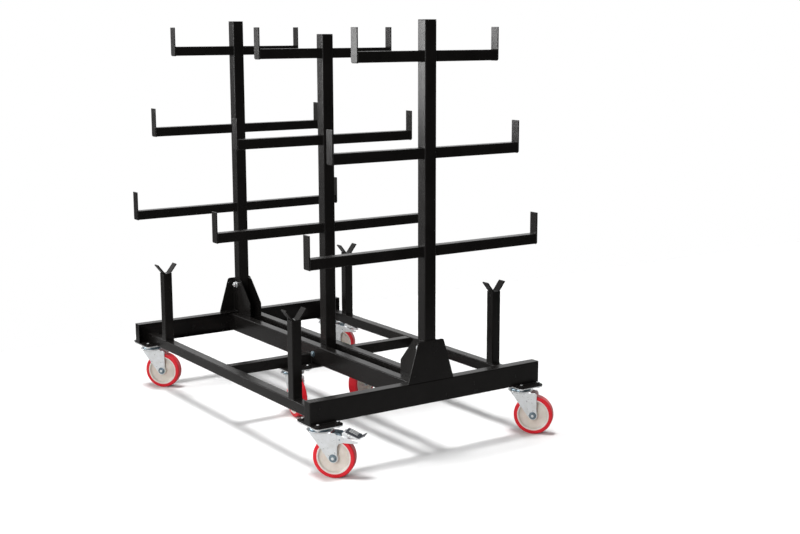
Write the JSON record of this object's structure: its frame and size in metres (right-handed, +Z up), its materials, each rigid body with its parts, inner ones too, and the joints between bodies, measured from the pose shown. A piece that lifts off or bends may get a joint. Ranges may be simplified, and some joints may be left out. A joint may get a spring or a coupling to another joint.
{
  "type": "pipe storage rack",
  "caption": "Mobile pipe storage rack: three uprights with double-sided lipped arms on a low steel frame with six swivel castors.",
  "frame": {"origin": "on the floor, under the centre of the box round the whole rack with its castors as they stand", "axes": "+X along the rack towards its near end, +Y across it towards its right side, +Z up"},
  "size_m": [1.626, 1.0804, 1.5604],
  "materials": {
    "black_paint": "semi-gloss powder coat",
    "cap_paint": "semi-gloss powder coat",
    "zinc": "bright zinc plate",
    "red_tyre": "satin polyurethane",
    "nylon": "satin nylon",
    "pedal_paint": "satin dark grey"
  },
  "bodies": {
    "rack": {"near_cross_member": "black_paint", "far_cross_member": "black_paint", "mid_cross_member": "black_paint", "left_spine_beam": "black_paint", "left_side_rail": "black_paint", "right_spine_beam": "black_paint", "right_side_rail": "black_paint", "near_left_cradle_post": "black_paint", "near_right_cradle_post": "black_paint", "far_left_cradle_post": "black_paint", "far_right_cradle_post": "black_paint", "far_upright": "black_paint", "far_upright_cap": "cap_paint", "far_arm_top": "black_paint", "far_arm_middle": "black_paint", "far_arm_bottom": "black_paint", "mid_upright": "black_paint", "mid_upright_cap": "cap_paint", "mid_arm_top": "black_paint", "mid_arm_middle": "black_paint", "mid_arm_bottom": "black_paint", "near_upright": "black_paint", "near_upright_cap": "cap_paint", "near_arm_top": "black_paint", "near_arm_middle": "black_paint", "near_arm_bottom": "black_paint", "near_shoe": "black_paint", "near_shoe_bolt": "zinc", "far_shoe": "black_paint", "far_shoe_bolt": "zinc", "near_left_castor_plate": "zinc", "near_right_castor_plate": "zinc", "far_left_castor_plate": "zinc", "far_right_castor_plate": "zinc", "mid_left_castor_plate": "zinc", "mid_right_castor_plate": "zinc"},
    "near_left_castor": {"near_left_fork": "zinc", "near_left_axle": "zinc"},
    "near_left_wheel": {"near_left_wheel_centre": "nylon", "near_left_tyre": "red_tyre"},
    "near_left_pedal": {"near_left_brake_pedal": "pedal_paint"},
    "near_right_castor": {"near_right_fork": "zinc", "near_right_axle": "zinc"},
    "near_right_wheel": {"near_right_wheel_centre": "nylon", "near_right_tyre": "red_tyre"},
    "far_left_castor": {"far_left_fork": "zinc", "far_left_axle": "zinc"},
    "far_left_wheel": {"far_left_wheel_centre": "nylon", "far_left_tyre": "red_tyre"},
    "far_right_castor": {"far_right_fork": "zinc", "far_right_axle": "zinc"},
    "far_right_wheel": {"far_right_wheel_centre": "nylon", "far_right_tyre": "red_tyre"},
    "far_right_pedal": {"far_right_brake_pedal": "pedal_paint"},
    "mid_left_castor": {"mid_left_fork": "zinc"},
    "mid_left_wheel": {"mid_left_wheel_centre": "nylon", "mid_left_tyre": "red_tyre"},
    "mid_right_castor": {"mid_right_fork": "zinc"},
    "mid_right_wheel": {"mid_right_wheel_centre": "nylon", "mid_right_tyre": "red_tyre"}
  },
  "joints": [
    {"name": "near_left_swivel", "type": "hinge", "parent": "rack", "child": "near_left_castor", "pos_m": [0.68061, -0.4812, 0.16], "axis": [0, 0, 1], "continuous": true},
    {"name": "near_left_wheel_spin", "type": "hinge", "parent": "near_left_castor", "child": "near_left_wheel", "pos_m": [0.71747, -0.44523, 0.075], "axis": [-0.6984, 0.7157, 0], "continuous": true},
    {"name": "near_left_brake", "type": "hinge", "parent": "near_left_castor", "child": "near_left_pedal", "pos_m": [0.74323, -0.42009, 0.15], "axis": [-0.6984, 0.7157, 0], "range_deg": [0, 12]},
    {"name": "near_right_swivel", "type": "hinge", "parent": "rack", "child": "near_right_castor", "pos_m": [0.68061, 0.4108, 0.16], "axis": [0, 0, 1], "continuous": true},
    {"name": "near_right_wheel_spin", "type": "hinge", "parent": "near_right_castor", "child": "near_right_wheel", "pos_m": [0.71912, 0.44499, 0.075], "axis": [-0.6639, 0.7478, 0], "continuous": true},
    {"name": "far_left_swivel", "type": "hinge", "parent": "rack", "child": "far_left_castor", "pos_m": [-0.74299, -0.4812, 0.16], "axis": [0, 0, 1], "continuous": true},
    {"name": "far_left_wheel_spin", "type": "hinge", "parent": "far_left_castor", "child": "far_left_wheel", "pos_m": [-0.70582, -0.44556, 0.075], "axis": [-0.6921, 0.7218, 0], "continuous": true},
    {"name": "far_right_swivel", "type": "hinge", "parent": "rack", "child": "far_right_castor", "pos_m": [-0.74299, 0.4108, 0.16], "axis": [0, 0, 1], "continuous": true},
    {"name": "far_right_wheel_spin", "type": "hinge", "parent": "far_right_castor", "child": "far_right_wheel", "pos_m": [-0.70594, 0.44657, 0.075], "axis": [-0.6947, 0.7193, 0], "continuous": true},
    {"name": "far_right_brake", "type": "hinge", "parent": "far_right_castor", "child": "far_right_pedal", "pos_m": [-0.68005, 0.47158, 0.15], "axis": [-0.6947, 0.7193, 0], "range_deg": [0, 12]},
    {"name": "mid_left_swivel", "type": "hinge", "parent": "rack", "child": "mid_left_castor", "pos_m": [-0.03719, -0.1832, 0.16], "axis": [0, 0, 1], "continuous": true},
    {"name": "mid_left_wheel_spin", "type": "hinge", "parent": "mid_left_castor", "child": "mid_left_wheel", "pos_m": [0.01345, -0.19259, 0.075], "axis": [0.1822, 0.9833, 0], "continuous": true},
    {"name": "mid_right_swivel", "type": "hinge", "parent": "rack", "child": "mid_right_castor", "pos_m": [-0.03719, 0.1128, 0.16], "axis": [0, 0, 1], "continuous": true},
    {"name": "mid_right_wheel_spin", "type": "hinge", "parent": "mid_right_castor", "child": "mid_right_wheel", "pos_m": [-0.05896, 0.15947, 0.075], "axis": [-0.9063, -0.4226, 0], "continuous": true}
  ]
}
